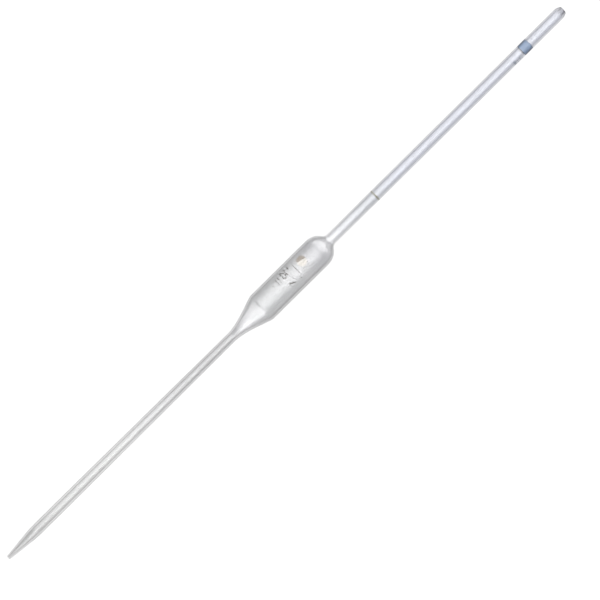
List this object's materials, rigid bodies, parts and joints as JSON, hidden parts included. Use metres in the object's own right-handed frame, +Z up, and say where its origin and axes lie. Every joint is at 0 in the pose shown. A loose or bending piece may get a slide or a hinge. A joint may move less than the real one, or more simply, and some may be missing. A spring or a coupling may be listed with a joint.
{
  "type": "volumetric pipette",
  "caption": "Slim glass volumetric pipette with a long cylindrical bulb, a tapered delivery jet, an open suction mouth, a ring mark and a colour code band.",
  "frame": {"origin": "midway along the length, on the surface that the bulb rests on", "axes": "+X along the axis from the jet to the mouth, +Z up from the surface the pipette lies on, +Y to the side"},
  "size_m": [0.52, 0.0218, 0.0218],
  "materials": {
    "clear_glass": "clear, blown and drawn, fire-polished ends",
    "blue_enamel": "fired-on translucent colour code band",
    "amber_enamel": "fired-on amber stain of the mark and the figures",
    "grey_enamel": "fired-on thin grey print"
  },
  "bodies": {
    "root": {"pipette": "clear_glass"}
  },
  "joints": []
}
